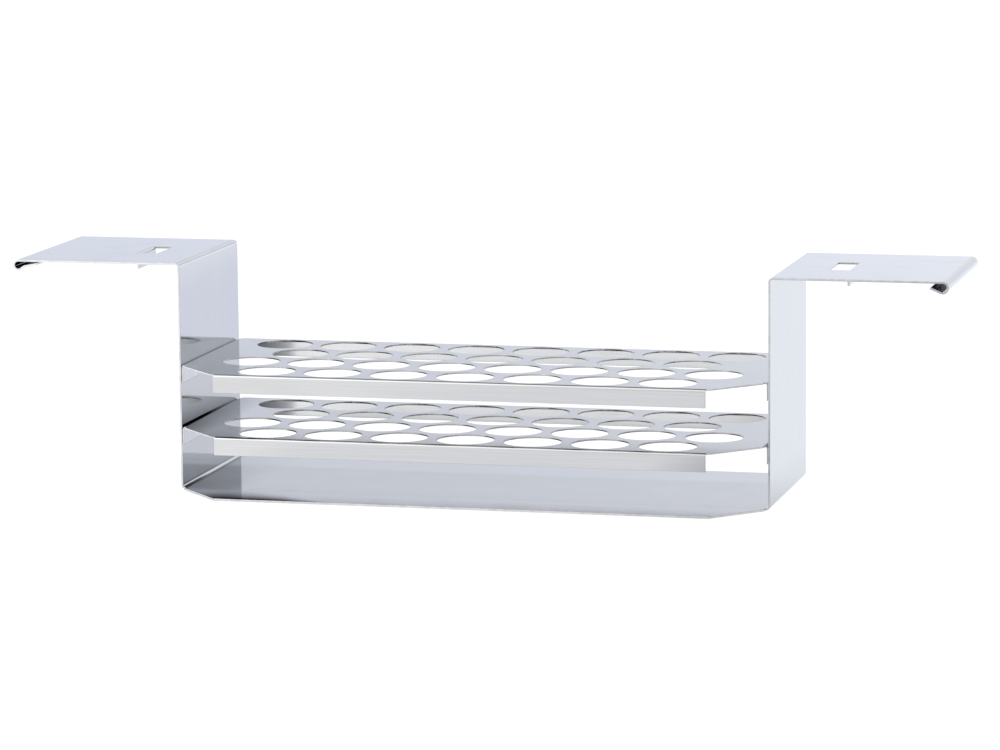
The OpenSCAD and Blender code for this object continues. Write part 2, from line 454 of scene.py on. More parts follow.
def sheet_piece(name, thickness, fold, outer, holes, lines, rings, welds, bends, dull, materials):
    """A closed, rounded-edge solid sheet. rings are loops of extra vertices, welds are blank points,
    and dull says which edges, by their middle and whether a hole's, are left rough and dark.
    materials are for the top, the clean edges, the rough edges and the underside."""
    data = [insets(loop) for loop in [outer] + holes]
    trimmed = [(p + EDGE_R * mitre).tolist() for p, mitre, _, _ in data]
    flat, tri, border = triangulated(trimmed, rings, lines)

    mid, tu, tv, normal = fold(flat)
    half = thickness / 2
    dent, slope = dents(flat, welds)
    below = -normal + slope[:, :1] * tu + slope[:, 1:] * tv
    below /= np.linalg.norm(below, axis=1)[:, None]
    count = len(flat)
    verts = [mid + half * normal, mid - (half - dent)[:, None] * normal]
    blank = [flat, flat]
    polygons = [tuple(t) for t in tri] + [tuple(t[::-1] + count) for t in tri]
    corner_normals = [normal[t] for t in tri] + [below[t[::-1]] for t in tri]
    kinds = [TOP] * len(tri) + [UNDERSIDE] * len(tri)

    profile = edge_profile(half)
    for number, loop in enumerate(data):
        ends = (border[number], border[number] + count)
        begin = sum(map(len, verts))
        faces, normals, rows, row_blank = rounded_edge(loop, fold, profile, ends, begin)
        polygons += faces
        corner_normals += normals
        verts += rows
        blank += row_blank
        middles = (loop[0] + np.roll(loop[0], -1, 0)) / 2
        edge_kinds = np.where(dull(middles, number > 0), ROUGH_EDGE, CLEAN_EDGE).tolist()
        kinds += edge_kinds * (len(profile) - 1)

    blank = np.concatenate(blank)
    wear = {"bend": bends(blank), "heat": heat(blank, welds), "rim": rim(blank, data)}
    mesh = sheet_mesh(name, np.concatenate(verts), polygons, kinds, blank, wear, materials)
    mesh.normals_split_custom_set(np.concatenate(corner_normals).tolist())
    mesh.validate(clean_customdata=False)
    piece = bpy.data.objects.new(name, mesh)
    bpy.context.scene.collection.objects.link(piece)
    return piece


def sheet_mesh(name, verts, polygons, kinds, blank, wear, materials):
    """The mesh itself, with its blank points as a UV map and its wear as attributes."""
    mesh = bpy.data.meshes.new(name)
    mesh.from_pydata(verts.tolist(), [], [tuple(map(int, f)) for f in polygons])
    mesh.polygons.foreach_set("material_index", kinds)
    mesh.polygons.foreach_set("use_smooth", [True] * len(kinds))
    for material in materials:
        mesh.materials.append(material)
    corners = np.array([i for f in polygons for i in f])
    layer = mesh.uv_layers.new(name="blank")
    layer.data.foreach_set("uv", (blank[corners] * UV_PER_M).astype(np.float32).ravel())
    for key, values in wear.items():
        attribute = mesh.attributes.new(key, "FLOAT", "POINT")
        attribute.data.foreach_set("value", np.asarray(values, np.float32))
    return mesh


def weld_distance(points, welds):
    """How far each point is from the nearest weld, and the direction away from it."""
    away = points[:, None] - np.array(welds)[None]
    gap = np.hypot(away[..., 0], away[..., 1])
    near = gap.argmin(1)
    pick = np.arange(len(points))
    gap = gap[pick, near]
    return gap, away[pick, near] / np.maximum(gap, NO_LENGTH)[:, None]


def dents(points, welds):
    """Depth of the weld marks at each point and how it changes along u and v."""
    gap, direction = weld_distance(points, welds)
    t = np.clip((DENT_R - gap) / (DENT_R - DENT_FLOOR_R), 0, 1)
    depth = DENT_DEPTH * t * t * (3 - 2 * t)
    rate = -DENT_DEPTH * 6 * t * (1 - t) / (DENT_R - DENT_FLOOR_R)
    return depth, rate[:, None] * direction


def heat(points, welds):
    """How far the weld's heat reached, from 1 at the weld to 0 some millimetres away."""
    gap, _ = weld_distance(points, welds)
    return np.exp(-((gap / HEAT_REACH) ** 2))


def rim(points, data):
    """1 on the edge of a round hole, falling to 0 a little way into the sheet."""
    near = np.full(len(points), BURNISH_W)
    for p, _, _, _ in data:
        if len(p) == HOLE_STEPS:
            gap = np.hypot(*(points - p.mean(0)).T) - HOLE_R
            near = np.minimum(near, gap)
    return np.clip(1 - near / BURNISH_W, 0, 1)


def chain_mask(s, chain, begin=0.0):
    """1 in the middle of a chain's bends and 0 on its flats."""
    mask = np.zeros(len(s))
    at = begin
    for length, turn in chain:
        if turn:
            mask = np.maximum(mask, np.clip(1 - np.abs((s - at) / length * 2 - 1), 0, 1))
        at += length
    return mask


def weld_v():
    """Where a row of welds stands along v."""
    return [WALL_MID_Y + (i - (WELD_COUNT - 1) / 2) * WELD_PITCH for i in range(WELD_COUNT)]


WELD_Z = -(FLANGE_H + TRAY_BEND_R + TRAY_T) / 2
RING_RADII_MM = (1.0, 1.6, 2.0, 2.25, 2.5, 2.75, 3.3, 4.2, 5.6)
FLANGE_ROOM = 3.0 * MM
WALL_ROOM = 10.0 * MM


def weld_rings(welds, room):
    """Rings of vertices round the welds, as far out as there is room."""
    radii = [r * MM for r in RING_RADII_MM if r * MM < room]
    return [circle(u, v, r, WELD_STEPS, False) for u, v in welds for r in radii]


def build_frame(materials):
    outer, lines = frame_outline()
    holes, extra = [], []
    for side in (1, -1):
        slot = [(u, v + WALL_MID_Y) for u, v in window_outline()]
        if side < 0:
            slot = [(-u, v) for u, v in reversed(slot)]
        tab_lines = [side * (TAB_U - c) for c in stations(TAB_CHAIN)]
        slot = split_at(slot, 0, tab_lines)
        holes.append(slot)
        low, high = WALL_MID_Y - TAB_HALF, WALL_MID_Y + TAB_HALF
        extra += [((c, low + EDGE_R), (c, high - EDGE_R)) for c in tab_lines]
    extra += [((u, WALL_FRONT_Y + EDGE_R), (u, REAR_Y - EDGE_R)) for u in lines]
    welds = []
    for tray in TRAYS.values():
        z = tray[1].z + WELD_Z
        u = WALL_U + z - FRAME_T - FRAME_BEND_R
        welds += [(side * u, v) for side in (1, -1) for v in weld_v()]
    rings = weld_rings(welds, WALL_ROOM)

    def bends(p):
        return np.maximum(chain_mask(p[:, 0], CHAINS[1]), chain_mask(-p[:, 0], CHAINS[-1]))

    def dull(p, in_hole):
        return (p[:, 1] > WALL_MID_Y + WINDOW_L / 2 - EDGE_R) & in_hole

    return sheet_piece(
        "rack_frame_sheet", FRAME_T, frame_fold,
        outer, holes, extra, rings, welds, bends, dull, materials,
    )


def build_tray(node, materials):
    outer, ends, rear, front = tray_outline()
    holes = [circle(*m["pos_m"][:2], HOLE_R, HOLE_STEPS) for m in TUBES]
    rings = [circle(*m["pos_m"][:2], HOLE_R + BURNISH_W, HOLE_STEPS) for m in TUBES]
    end_front = WALL_FRONT_Y + END_INSET + EDGE_R
    end_rear = REAR_Y - CORNER_RELIEF - TRAY_BEND - EDGE_R
    front_x = WALL_IN_X - CORNER_CUT - EDGE_R
    rear_x = FLAT_X - CORNER_RELIEF - EDGE_R
    extra = [((s * c, end_front), (s * c, end_rear)) for c in ends for s in (1, -1)]
    extra += [((-rear_x, c), (rear_x, c)) for c in rear]
    extra += [((-front_x, c), (front_x, c)) for c in front]
    bend_l = TRAY_CHAIN[0][0]
    weld_u = FLAT_X + bend_l - WELD_Z - TRAY_BEND
    welds = [(s * weld_u, v) for s in (1, -1) for v in weld_v()]
    rings += weld_rings(welds, FLANGE_ROOM)

    def bends(p):
        u, v = np.abs(p[:, 0]), p[:, 1]
        return np.maximum.reduce([
            chain_mask(u, TRAY_CHAIN, FLAT_X),
            chain_mask(v, TRAY_CHAIN, FLAT_REAR),
            chain_mask(-v, TRAY_CHAIN, -FLAT_FRONT),
        ])

    # Holes and the right end flange's cut edges take the dark edge material; on the end flange the
    # darkness is painted shade.
    def dull(p, in_hole):
        return in_hole | (p[:, 0] > FLAT_X)

    piece = sheet_piece(
        node + "_sheet", TRAY_T, tray_fold,
        outer, holes, extra, rings, welds, bends, dull, materials,
    )
    piece.data.transform(Matrix.Translation((0, 0, TRAYS[node][1].z)))
    return piece


# ---------------------------------------------------------------- materials

def add(tree, kind, inputs=None, **settings):
    """A shader node. inputs maps a socket's name or place to a value or to another socket."""
    node = tree.nodes.new(kind)
    for key, value in settings.items():
        setattr(node, key, value)
    for key, value in (inputs or {}).items():
        socket = node.inputs[key]
        if isinstance(value, bpy.types.NodeSocket):
            tree.links.new(value, socket)
        else:
            socket.default_value = value
    return node


def new_material(name):
    """A material with an empty node tree, and that tree."""
    material = bpy.data.materials.new(name)
    material.use_nodes = True
    material.node_tree.nodes.clear()
    return material, material.node_tree


def maths(tree, operation, a, b=0.0, c=0.0, clamp=False):
    return add(
        tree, "ShaderNodeMath", {0: a, 1: b, 2: c}, operation=operation, use_clamp=clamp
    ).outputs[0]


def remap(tree, value, low, high, to_low=0.0, to_high=1.0):
    """to_low at low and to_high at high, straight in between and held beyond them."""
    return add(
        tree, "ShaderNodeMapRange", {0: value, 1: low, 2: high, 3: to_low, 4: to_high}
    ).outputs[0]


NOISE_ROUGHNESS = 0.55


def stretched_noise(tree, uv, along_m, across_m, detail, offset):
    """Noise whose features are along_m long in u and across_m wide in v."""
    scale = (1 / (UV_PER_M * along_m), 1 / (UV_PER_M * across_m), 1)
    mapped = add(
        tree, "ShaderNodeMapping", {"Vector": uv, "Scale": scale, "Location": (offset, offset, 0)}
    ).outputs[0]
    return add(
        tree,
        "ShaderNodeTexNoise",
        {"Vector": mapped, "Scale": 1.0, "Detail": detail, "Roughness": NOISE_ROUGHNESS},
        noise_dimensions="2D",
    ).outputs[0]


def attribute(tree, name):
    return add(tree, "ShaderNodeAttribute", attribute_name=name).outputs["Fac"]


def blend_colour(tree, share, a, b, mode="MIX"):
    node = add(tree, "ShaderNodeMix", data_type="RGBA", blend_type=mode)
    for socket, value in ((node.inputs[0], share), (node.inputs[6], a), (node.inputs[7], b)):
        if isinstance(value, bpy.types.NodeSocket):
            tree.links.new(value, socket)
        else:
            socket.default_value = value
    return node.outputs[2]


def product(tree, *factors):
    value = factors[0]
    for factor in factors[1:]:
        value = maths(tree, "MULTIPLY", value, factor)
    return value


def between(tree, value, start, full, full_end, end):
    """0 outside start and end, and 1 from full to full_end."""
    rise = remap(tree, value, start, full)
    return maths(tree, "MULTIPLY", rise, remap(tree, value, full_end, end, 1.0, 0.0))


def near_left(tree, u, at, width, share):
    """share at u = -at, falling to 0 at width further in."""
    return remap(tree, u, -at, width - at, share, 0.0)


# Painted shade on the base: beside the left wall a dark crease and a wider haze, as (width, share),
# and how much of them is left at the rear. Then painted shade as a wedge along the front edge's left
# end and a line along all of it, as (from, to, value at from, value at to)
CREASE = (4 * MM, 0.75)
CREASE_HAZE = (32 * MM, 0.26)
CREASE_AT_REAR = 0.2
WEDGE_WIDTH = (-118 * MM, -68 * MM, 34 * MM, 7 * MM)
WEDGE_START = (-136 * MM, -114 * MM, 0.4, 1.0)
WEDGE_END = (-86 * MM, -57 * MM, 1.0, 0.0)
FRONT_LINE = (0.0, 20 * MM, 0.1, 0.0)
# Painted shade where a tray's ends meet the walls: the width over which the dark line starts, how
# much of it is left at the rear and at the right end, and the painted haze beside the left one
SEAM_START = 0.5 * MM
SEAM_AT_REAR = 0.15
SEAM_AT_RIGHT = 0.5
HAZE_W = 16 * MM
HAZE_AT_REAR = 0.3
# The painted dark reflection along a tray's front bend, in mm from the bend, and where its left end
# gives way
FOLD_BAND_MM = (-0.9, -0.5, 0.5, 1.6)
FOLD_LEFT = (-100 * MM, -80 * MM)
# The painted shade at the left end of a rear flange's inner face, and how far in from the rear it
# fades in
FLANGE_SHADE = (-131 * MM, -111 * MM, 0.76, 0.0)
FLANGE_SHADE_V = (8 * MM, 4 * MM)


def from_rear(tree, v, at_rear, at_front=1.0):
    """at_rear at the sheet's rear and at_front where the walls end."""
    return remap(tree, v, REAR_Y, WALL_FRONT_Y, at_rear, at_front)


def larger(tree, a, b):
    return maths(tree, "MAXIMUM", a, b)


def on_base(tree, u):
    """1 on the base and 0 on the rest of the frame's sheet."""
    return maths(tree, "LESS_THAN", maths(tree, "ABSOLUTE", u), BASE_FLAT_U)


def frame_painted_shade(tree, u, v):
    """Share of painted shade on the base."""
    crease = near_left(tree, u, BASE_FLAT_U, *CREASE)
    crease = larger(tree, crease, near_left(tree, u, BASE_FLAT_U, *CREASE_HAZE))
    crease = product(tree, crease, from_rear(tree, v, CREASE_AT_REAR))
    inwards = maths(tree, "SUBTRACT", v, FRONT_Y)
    reach = maths(tree, "DIVIDE", inwards, remap(tree, u, *WEDGE_WIDTH))
    wedge = maths(tree, "SUBTRACT", 1.0, reach, clamp=True)
    ends = product(tree, remap(tree, u, *WEDGE_START), remap(tree, u, *WEDGE_END))
    wedge = product(tree, wedge, wedge, ends)
    front = larger(tree, wedge, remap(tree, inwards, *FRONT_LINE))
    return product(tree, larger(tree, crease, front), on_base(tree, u))


def seam_painted_shade(front_w, strength, haze, fold_left, fold):
    """Share of painted shade where a tray's ends meet the walls: a line that is front_w wide at the
    front, and a haze beside it that reaches into the tray at its left end. fold_left and fold are
    the shares of painted dark reflection along the front bend, at its left end and elsewhere."""
    def share(tree, u, v):
        past_flat = maths(tree, "SUBTRACT", maths(tree, "ABSOLUTE", u), FLAT_X)
        over = maths(tree, "ADD", past_flat, from_rear(tree, v, 0.0, front_w))
        seam = product(
            tree,
            remap(tree, over, 0.0, SEAM_START, 0.0, strength),
            remap(tree, v, REAR_Y, 0.0, SEAM_AT_REAR, 1.0),
            remap(tree, u, 0.0, FLAT_X, 1.0, SEAM_AT_RIGHT),
        )
        bend = product(
            tree,
            between(tree, v, *(FLAT_FRONT + d * MM for d in FOLD_BAND_MM)),
            remap(tree, u, *FOLD_LEFT, fold_left, fold),
        )
        beside = near_left(tree, u, FLAT_X, HAZE_W, haze)
        beside = product(tree, beside, from_rear(tree, v, HAZE_AT_REAR))
        return larger(tree, larger(tree, seam, bend), beside)
    return share


def flange_painted_shade(tree, u, v):
    """Share of painted shade on the inner face of the rear flange, near its left end."""
    down = remap(tree, v, *(REAR_Y - d for d in FLANGE_SHADE_V))
    return product(tree, remap(tree, u, *FLANGE_SHADE), down)


# Heights of the sheet's slow waves and of its rolled grain
WAVE_H = 0.044 * MM
GRAIN_H = 0.0011 * MM
# Where along v the base's rear strip starts to sag and its front strip to lift, and how softly
SAG_FROM = 29 * MM
LIFT_FROM = -36 * MM
SAG_BLEND = 6 * MM
# Colours of the painted shade and painted dark reflections, of heat and of steel seen at a grazing
# angle, where it reflects less than a plain metal shader gives
PAINTED_DARK = (0.035, 0.03, 0.03, 1)
PAINTED_DARK_GRAZING = (0.075, 0.048, 0.056, 1)
STEEL_GRAZING = (0.75, 0.76, 0.78, 1)
STRAW = (0.52, 0.44, 0.33, 1)
WELD_CORE = (0.46, 0.46, 0.49, 1)
# Textures of the sheet: length along the grain, width across it, detail, offset from the seed.
# The grain's own width is given with each sheet, and the fine grain's is a part of it
GRAIN_L, FINE_L = 60 * MM, 9 * MM
FINE_PART = 4
FINE_OFFSET = 3.1
CLOUD = (55 * MM, 38 * MM, 3, 7.7)
SMUDGE = (21 * MM, 17 * MM, 4, 11.3)
SCRATCH = (34 * MM, 0.35 * MM, 1, 17.9)
WAVES = (70 * MM, 45 * MM, 1, 23.5)
# How textures and heat turn into shares, as (low, high, share at low, share at high), and the
# middle range of a noise
MARKED = (0.74, 0.80, 0.0, 1.0)
GREASY = (0.52, 0.72, 0.0, 1.0)
STRAW_BY_HEAT = (0.25, 0.75, 0.0, 0.5)
CORE_BY_HEAT = (0.66, 0.8, 0.0, 0.75)
MIDDLE = (0.3, 0.7)
# What these do to the steel: the range of its brightness and of its roughness, then what each one
# takes from the brightness and adds to the roughness
GRAIN_DIM = (-0.04, 0.02)
ROUGH_SPREAD = (0.85, 1.2)
MARKS_DIM, BEND_DIM = 0.05, 0.03
GREASY_ROUGH, MARKS_ROUGH, BEND_ROUGH, RIM_ROUGH, HEAT_ROUGH = 0.035, 0.08, 0.05, 0.06, 0.12
# How much of the grain's height the fine grain and the scratches have
FINE_H, MARKS_H = 0.35, -0.8


def sheet_steel(name, tone, warm, rough, directional, grain_w, seed, painted_shade, sag=0.0, grain_h=1.0):
    """Bright rolled stainless sheet with its grain along u. grime gives the share of painted shade
    and painted dark reflection at a place, and sag is the slope of the base's rear and front strips."""
    material, tree = new_material(name)
    uv = add(tree, "ShaderNodeUVMap", uv_map="blank").outputs[0]
    u, v, _ = add(tree, "ShaderNodeSeparateXYZ", {0: uv}).outputs
    u, v = maths(tree, "DIVIDE", u, UV_PER_M), maths(tree, "DIVIDE", v, UV_PER_M)
    grain = stretched_noise(tree, uv, GRAIN_L, grain_w, 3, seed)
    fine = stretched_noise(tree, uv, FINE_L, grain_w / FINE_PART, 2, seed + FINE_OFFSET)
    cloud, smudge, scratch, waves = (
        stretched_noise(tree, uv, along_m, across_m, detail, seed + offset)
        for along_m, across_m, detail, offset in (CLOUD, SMUDGE, SCRATCH, WAVES)
    )
    marks, greasy = remap(tree, scratch, *MARKED), remap(tree, smudge, *GREASY)
    heat_reach, bend, burnish = (attribute(tree, key) for key in ("heat", "bend", "rim"))

    dim = remap(tree, grain, *MIDDLE, *(1.0 + d * grain_h for d in GRAIN_DIM))
    for share, loss in ((marks, MARKS_DIM), (bend, BEND_DIM)):
        dim = maths(tree, "SUBTRACT", dim, maths(tree, "MULTIPLY", share, loss))
    grey = add(tree, "ShaderNodeCombineColor", {0: dim, 1: dim, 2: dim}).outputs[0]
    colour = blend_colour(tree, 1.0, blend_colour(tree, cloud, tone, warm), grey, "MULTIPLY")
    colour = blend_colour(tree, remap(tree, heat_reach, *STRAW_BY_HEAT), colour, STRAW)
    colour = blend_colour(tree, remap(tree, heat_reach, *CORE_BY_HEAT), colour, WELD_CORE)
    # Painted shade and painted dark reflection, mixed into the colour and the grazing tint
    painted_share = painted_shade(tree, u, v)
    colour = blend_colour(tree, painted_share, colour, PAINTED_DARK)
    grazing = blend_colour(tree, painted_share, STEEL_GRAZING, PAINTED_DARK_GRAZING)

    roughness = remap(tree, fine, *MIDDLE, *(rough * k for k in ROUGH_SPREAD))
    gains = ((greasy, GREASY_ROUGH), (marks, MARKS_ROUGH), (bend, BEND_ROUGH), (burnish, RIM_ROUGH))
    for share, gain in gains:
        roughness = maths(tree, "MULTIPLY_ADD", share, gain, roughness)
    roughness = maths(tree, "MULTIPLY_ADD", heat_reach, HEAT_ROUGH, roughness, clamp=True)

    height = maths(tree, "MULTIPLY", waves, WAVE_H)
    for texture, size in ((grain, 1.0), (fine, FINE_H), (marks, MARKS_H)):
        height = maths(tree, "MULTIPLY_ADD", texture, size * grain_h * GRAIN_H, height)
    if sag:
        rear, front = (
            maths(tree, "SMOOTH_MAX", maths(tree, "SUBTRACT", *pair), 0.0, SAG_BLEND)
            for pair in ((v, SAG_FROM), (LIFT_FROM, v))
        )
        shape = maths(tree, "MULTIPLY", maths(tree, "SUBTRACT", front, rear), sag)
        height = maths(tree, "MULTIPLY_ADD", shape, on_base(tree, u), height)
    bump = add(tree, "ShaderNodeBump", {"Height": height, "Distance": 1.0, "Strength": 1.0})
    tangent = add(tree, "ShaderNodeTangent", direction_type="UV_MAP", uv_map="blank")
    shader = add(
        tree,
        "ShaderNodeBsdfPrincipled",
        {
            "Base Color": colour,
            "Metallic": 1.0,
            "Roughness": roughness,
            "Normal": bump.outputs[0],
            "Tangent": tangent.outputs[0],
            "Anisotropic": directional,
            "Anisotropic Rotation": 0.25,
            "Specular Tint": grazing,
        },
    )
    add(tree, "ShaderNodeOutputMaterial", {"Surface": shader.outputs[0]})
    return material


# Which way from a hole's centre the painted dark reflection on its cut edge lies, at the rear and at
# the front of the tray, and how normals that face back from there turn into its share
DARK_REFLECTION_TURN = (math.radians(72), math.radians(38))
DARK_REFLECTION_FACING = (-0.93, -0.985, 0.0, 0.92)
# Size and depth of a sheared edge's tear marks, and what turns them from rough to clean
TEAR_SIZE = 0.5 * MM
TEAR_H = 0.02 * MM
TORN = (0.42, 0.56)


def painted_dark_reflection(tree, y):
    """Share of the painted dark reflection on the back of each hole's cut edge, right of the middle,
    and further round to the right towards the front."""
    turn = remap(tree, y, REAR_Y, FRONT_Y, *DARK_REFLECTION_TURN)
    normal = add(tree, "ShaderNodeNewGeometry").outputs["Normal"]
    x_n, y_n, _ = add(tree, "ShaderNodeSeparateXYZ", {0: normal}).outputs
    facing = maths(tree, "MULTIPLY", x_n, maths(tree, "COSINE", turn))
    facing = maths(tree, "MULTIPLY_ADD", y_n, maths(tree, "SINE", turn), facing)
    return remap(tree, facing, *DARK_REFLECTION_FACING)


def cut_steel(name, tone, clean_share, smooth, rough, patch_size, dark_tone=0.6, front_share=0.0):
    """A sheared edge: fine tear marks across the sheet's thickness, smooth or rough in patches.
    Its colour runs from dark_tone * tone to tone by clean_share at most, and by front_share more
    towards the front. A front_share also gives it a painted dark reflection at the back of each
    hole."""
    material, tree = new_material(name)
    place = add(tree, "ShaderNodeTexCoord").outputs["Object"]
    tear = add(
        tree, "ShaderNodeTexNoise",
        {"Vector": place, "Scale": 1 / TEAR_SIZE, "Detail": 3.0, "Roughness": 0.6},
    ).outputs[0]
    patch = add(
        tree, "ShaderNodeTexNoise", {"Vector": place, "Scale": 1 / patch_size, "Detail": 2.0}
    ).outputs[0]
    torn = maths(tree, "MULTIPLY_ADD", tear, 0.5, maths(tree, "MULTIPLY", patch, 0.5))
    clean = remap(tree, torn, *TORN, 0.0, clean_share)
    dark = tuple(c * dark_tone for c in tone[:3]) + (1,)
    if front_share:
        y = add(tree, "ShaderNodeSeparateXYZ", {0: place}).outputs["Y"]
        more = remap(tree, y, REAR_Y, 0.0, 0.0, front_share)
        clean = maths(tree, "ADD", clean, more, clamp=True)
        # A painted dark reflection, placed by the way the edge's normal faces
        dark_reflection = painted_dark_reflection(tree, y)
        colour = blend_colour(tree, dark_reflection, blend_colour(tree, clean, dark, tone), PAINTED_DARK)
        tint = blend_colour(tree, dark_reflection, STEEL_GRAZING, PAINTED_DARK)
    else:
        colour = blend_colour(tree, clean, dark, tone)
        tint = STEEL_GRAZING
    bump = add(tree, "ShaderNodeBump", {"Height": tear, "Distance": TEAR_H, "Strength": 0.6})
    shader = add(
        tree,
        "ShaderNodeBsdfPrincipled",
        {
            "Base Color": colour,
            "Metallic": 1.0,
            "Roughness": remap(tree, patch, *MIDDLE, smooth, rough),
            "Normal": bump.outputs[0],
            "Specular Tint": tint,
        },
    )
    add(tree, "ShaderNodeOutputMaterial", {"Surface": shader.outputs[0]})
    return material


TRAY_FINISH = {"directional": 0.1, "grain_w": 0.7 * MM}
TRAY_TONES = ((0.555, 0.562, 0.575, 1), (0.58, 0.578, 0.575, 1))
frame_steel = sheet_steel(
    "frame_steel", (0.565, 0.572, 0.585, 1), (0.585, 0.585, 0.585, 1), rough=0.07,
    directional=0.35, grain_w=0.9 * MM, seed=0.0, painted_shade=frame_painted_shade, sag=0.011, grain_h=0.5,
)
upper_steel = sheet_steel(
    "upper_tray_steel", *TRAY_TONES, rough=0.11, seed=41.0, **TRAY_FINISH,
    painted_shade=seam_painted_shade(front_w=0.0, strength=0.15, haze=0.0, fold_left=0.3, fold=0.42),
)
lower_steel = sheet_steel(
    "lower_tray_steel", *TRAY_TONES, rough=0.11, seed=53.0, **TRAY_FINISH,
    painted_shade=seam_painted_shade(front_w=0.8 * MM, strength=0.95, haze=0.5, fold_left=0.8, fold=0.4),
)
tray_reverse = sheet_steel(
    "tray_reverse_steel", (0.645, 0.65, 0.655, 1), (0.66, 0.658, 0.65, 1), rough=0.12, seed=67.0,
    painted_shade=flange_painted_shade, **TRAY_FINISH,
)
cut_edge = cut_steel(
    "cut_edge_steel", (0.90, 0.90, 0.91, 1),
    clean_share=0.3, smooth=0.18, rough=0.28, patch_size=4 * MM,
)
punched_edge = cut_steel(
    "punched_edge_steel", (0.55, 0.545, 0.55, 1),
    clean_share=1.0, smooth=0.32, rough=0.5, patch_size=7 * MM, dark_tone=0.12, front_share=0.75,
)
weld_steel = cut_steel(
    "weld_steel", (0.50, 0.47, 0.44, 1),
    clean_share=0.6, smooth=0.26, rough=0.42, patch_size=3 * MM,
)

# ---------------------------------------------------------------- the pieces

frame_piece = build_frame([frame_steel, cut_edge, punched_edge, frame_steel])
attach(frame_piece, "root")
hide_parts("frame")

for tray_node, tray_steel in (("upper_tray", upper_steel), ("lower_tray", lower_steel)):
    tray_piece = build_tray(tray_node, [tray_steel, cut_edge, punched_edge, tray_reverse])
    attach(tray_piece, "root")
    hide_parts(tray_node)
    weld_node = frame["nodes"][tray_node + "_welds"]
    weld_node.data.materials.clear()
    weld_node.data.materials.append(weld_steel)

# ---------------------------------------------------------------- studio

FLOOR_GAP = 0.3 * MM
FLOOR_HALF = 14.0
FLOOR_SEEN = (0.93, 0.93, 0.93, 1)
FLOOR_NOISE_SCALE = 1.7
FLOOR_TONES = ((0.12, 0.12, 0.125, 1), (0.15, 0.15, 0.155, 1))
# What the steel sees of the floor: a colour at the front, then layers over it, each with the
# x and the y between which it fades in. EVERYWHERE is faded in all round the rack
FLOOR_GLOW = (0.97, 0.985, 1.01, 1)
EVERYWHERE = (9.0, 8.9)
FLOOR_LAYERS = [
    (EVERYWHERE, (0.02, 0.10), (0.88, 0.89, 0.97, 1)),
    (EVERYWHERE, (0.25, 0.45), (1.0, 1.03, 1.17, 1)),
    ((0.08, 0.16), (-0.03, 0.05), (1.25, 1.29, 1.34, 1)),
    ((0.06, 0.12), (-0.02, -0.12), (0.30, 0.30, 0.31, 1)),
    ((-0.16, -0.24), EVERYWHERE, (1.35, 1.35, 1.35, 1)),
    ((-0.12, -0.15), (-0.08, -0.11), (1.25, 1.25, 1.26, 1)),
    ((-0.06, -0.18), (-0.12, -0.25), (1.08, 1.08, 1.09, 1)),
    ((-0.20, -0.45), (-0.42, -0.70), (1.45, 1.45, 1.45, 1)),
]


def floor_material():
    """A white sheet lit from below, so that the rack's shadow stays faint. A camera under it sees
    through it."""
    material, tree = new_material("studio_floor")
    place = add(tree, "ShaderNodeTexCoord").outputs["Object"]
    x, y, _ = add(tree, "ShaderNodeSeparateXYZ", {0: place}).outputs
    glow = FLOOR_GLOW
    for x_range, y_range, layer in FLOOR_LAYERS:
        share = product(tree, remap(tree, x, *x_range), remap(tree, y, *y_range))
        glow = blend_colour(tree, share, glow, layer)
    seen = add(tree, "ShaderNodeLightPath").outputs["Is Camera Ray"]
    cloud = add(
        tree, "ShaderNodeTexNoise", {"Vector": place, "Scale": FLOOR_NOISE_SCALE, "Detail": 3.0}
    )
    shader = add(
        tree,
        "ShaderNodeBsdfPrincipled",
        {
            "Base Color": blend_colour(tree, cloud.outputs[0], *FLOOR_TONES),
            "Roughness": 0.9,
            "Specular IOR Level": 0.0,
            "Emission Color": blend_colour(tree, seen, glow, FLOOR_SEEN),
            "Emission Strength": 1.0,
        },
    )
    under = add(tree, "ShaderNodeNewGeometry").outputs["Backfacing"]
    clear = add(tree, "ShaderNodeBsdfTransparent")
    share = maths(tree, "MULTIPLY", under, seen)
    mixed = add(tree, "ShaderNodeMixShader", {0: share, 1: shader.outputs[0], 2: clear.outputs[0]})
    add(tree, "ShaderNodeOutputMaterial", {"Surface": mixed.outputs[0]})
    return material


def build_floor():
    mesh = bpy.data.meshes.new("studio_floor")
    signs = [(-1, -1), (1, -1), (1, 1), (-1, 1)]
    corners = [(x * FLOOR_HALF, y * FLOOR_HALF, -FLOOR_GAP) for x, y in signs]
    mesh.from_pydata(corners, [], [(0, 1, 2, 3)])
    mesh.materials.append(floor_material())
    floor = bpy.data.objects.new("studio_floor", mesh)
    bpy.context.scene.collection.objects.link(floor)


# Light round the rack, by angle above the rear horizon: (degrees, colour)
SKY = [
    (0, (1.10, 1.15, 1.27)),
    (8.5, (1.10, 1.15, 1.27)),
    (9.4, (0.93, 0.95, 1.03)),
    (10.2, (0.885, 0.91, 0.99)),
    (12, (1.06, 1.10, 1.19)),
    (21, (1.04, 1.08, 1.16)),
    (32, (0.80, 0.81, 0.84)),
    (60, (0.85, 0.85, 0.87)),
    (77, (1.6, 1.6, 1.6)),
    (88, (1.9, 1.9, 1.9)),
    (122, (1.9, 1.9, 1.9)),
    (140, (1.25, 1.24, 1.22)),
    (180, (1.18, 1.17, 1.15)),
]
SKY_TOP = 2.0
# Below, directions are given by their x, y and z, and by their pitch above the rear horizon in
# degrees. The rear's own light fades in over this y
BEHIND_Y = (0.0, 0.3)
# The left of the room is brighter
SIDE_GLOW = (1.7, 1.7, 1.72, 1)
SIDE_X = (-0.45, -0.85)
# Extra light in the middle of the rear, low down
REAR_GLOW = (0.35, 0.33, 0.28, 1)
REAR_GLOW_HALF_X = 0.2
REAR_GLOW_PITCH = (21, 26)
